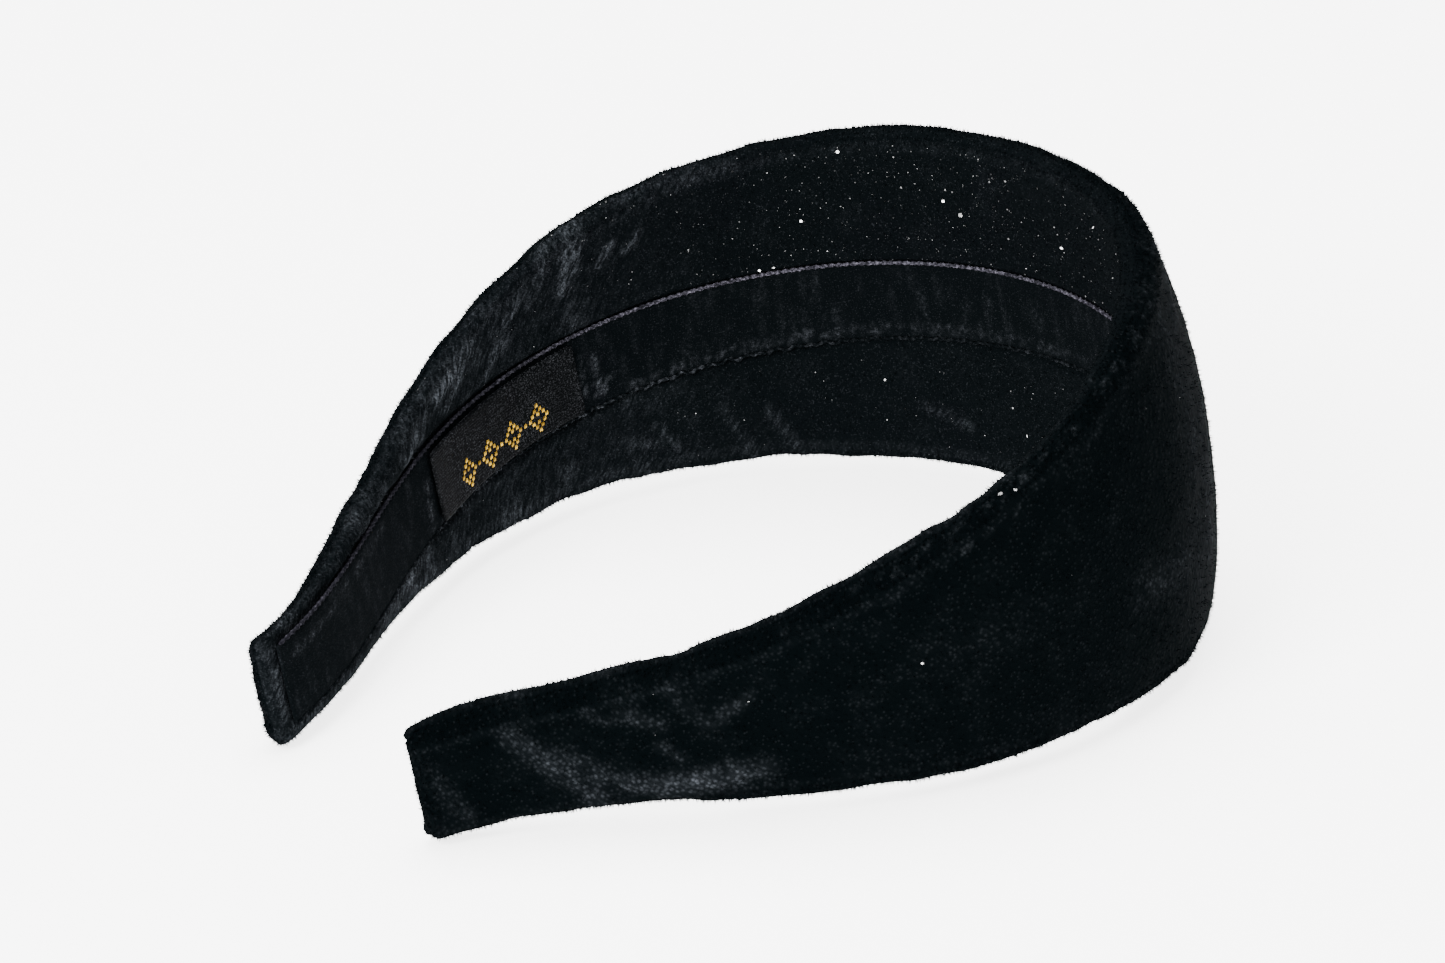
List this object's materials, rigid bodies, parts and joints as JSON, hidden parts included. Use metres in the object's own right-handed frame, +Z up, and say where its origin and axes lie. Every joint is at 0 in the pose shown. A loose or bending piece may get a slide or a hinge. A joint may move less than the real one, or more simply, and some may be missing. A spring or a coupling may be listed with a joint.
{
  "type": "headband",
  "caption": "Wide padded velvet headband: a springy C-shaped band, broad at the crown with narrow square tips, an inner ribbon and a small woven label.",
  "frame": {"origin": "on the surface that the headband lies on, under the middle of its overall box", "axes": "+Z up, as the headband lies on its back edge; +Y from the tips towards the crown; +X towards the right arm, so the labelled arm is at -X"},
  "size_m": [0.128, 0.1506, 0.0637],
  "materials": {
    "velvet": "crushed black velvet with a short pile",
    "ribbon": "black velvet ribbon with a satin selvedge",
    "label_satin": "black woven satin with a gold thread motif",
    "core_plastic": "black flexible plastic, satin",
    "foam": "soft dark grey foam sheet"
  },
  "bodies": {
    "right_half": {"core_right": "core_plastic", "pad_right": "foam", "cover_right": "velvet", "ribbon_right": "ribbon"},
    "left_half": {"core_left": "core_plastic", "pad_left": "foam", "cover_left": "velvet", "ribbon_left": "ribbon", "label": "label_satin"}
  },
  "joints": [
    {"name": "crown_flex", "type": "hinge", "parent": "right_half", "child": "left_half", "pos_m": [0, 0.07366, 0.03374], "axis": [0, 0.1597, -0.9872], "range_deg": [0, 18], "stiffness_Nm_per_rad": 1}
  ]
}
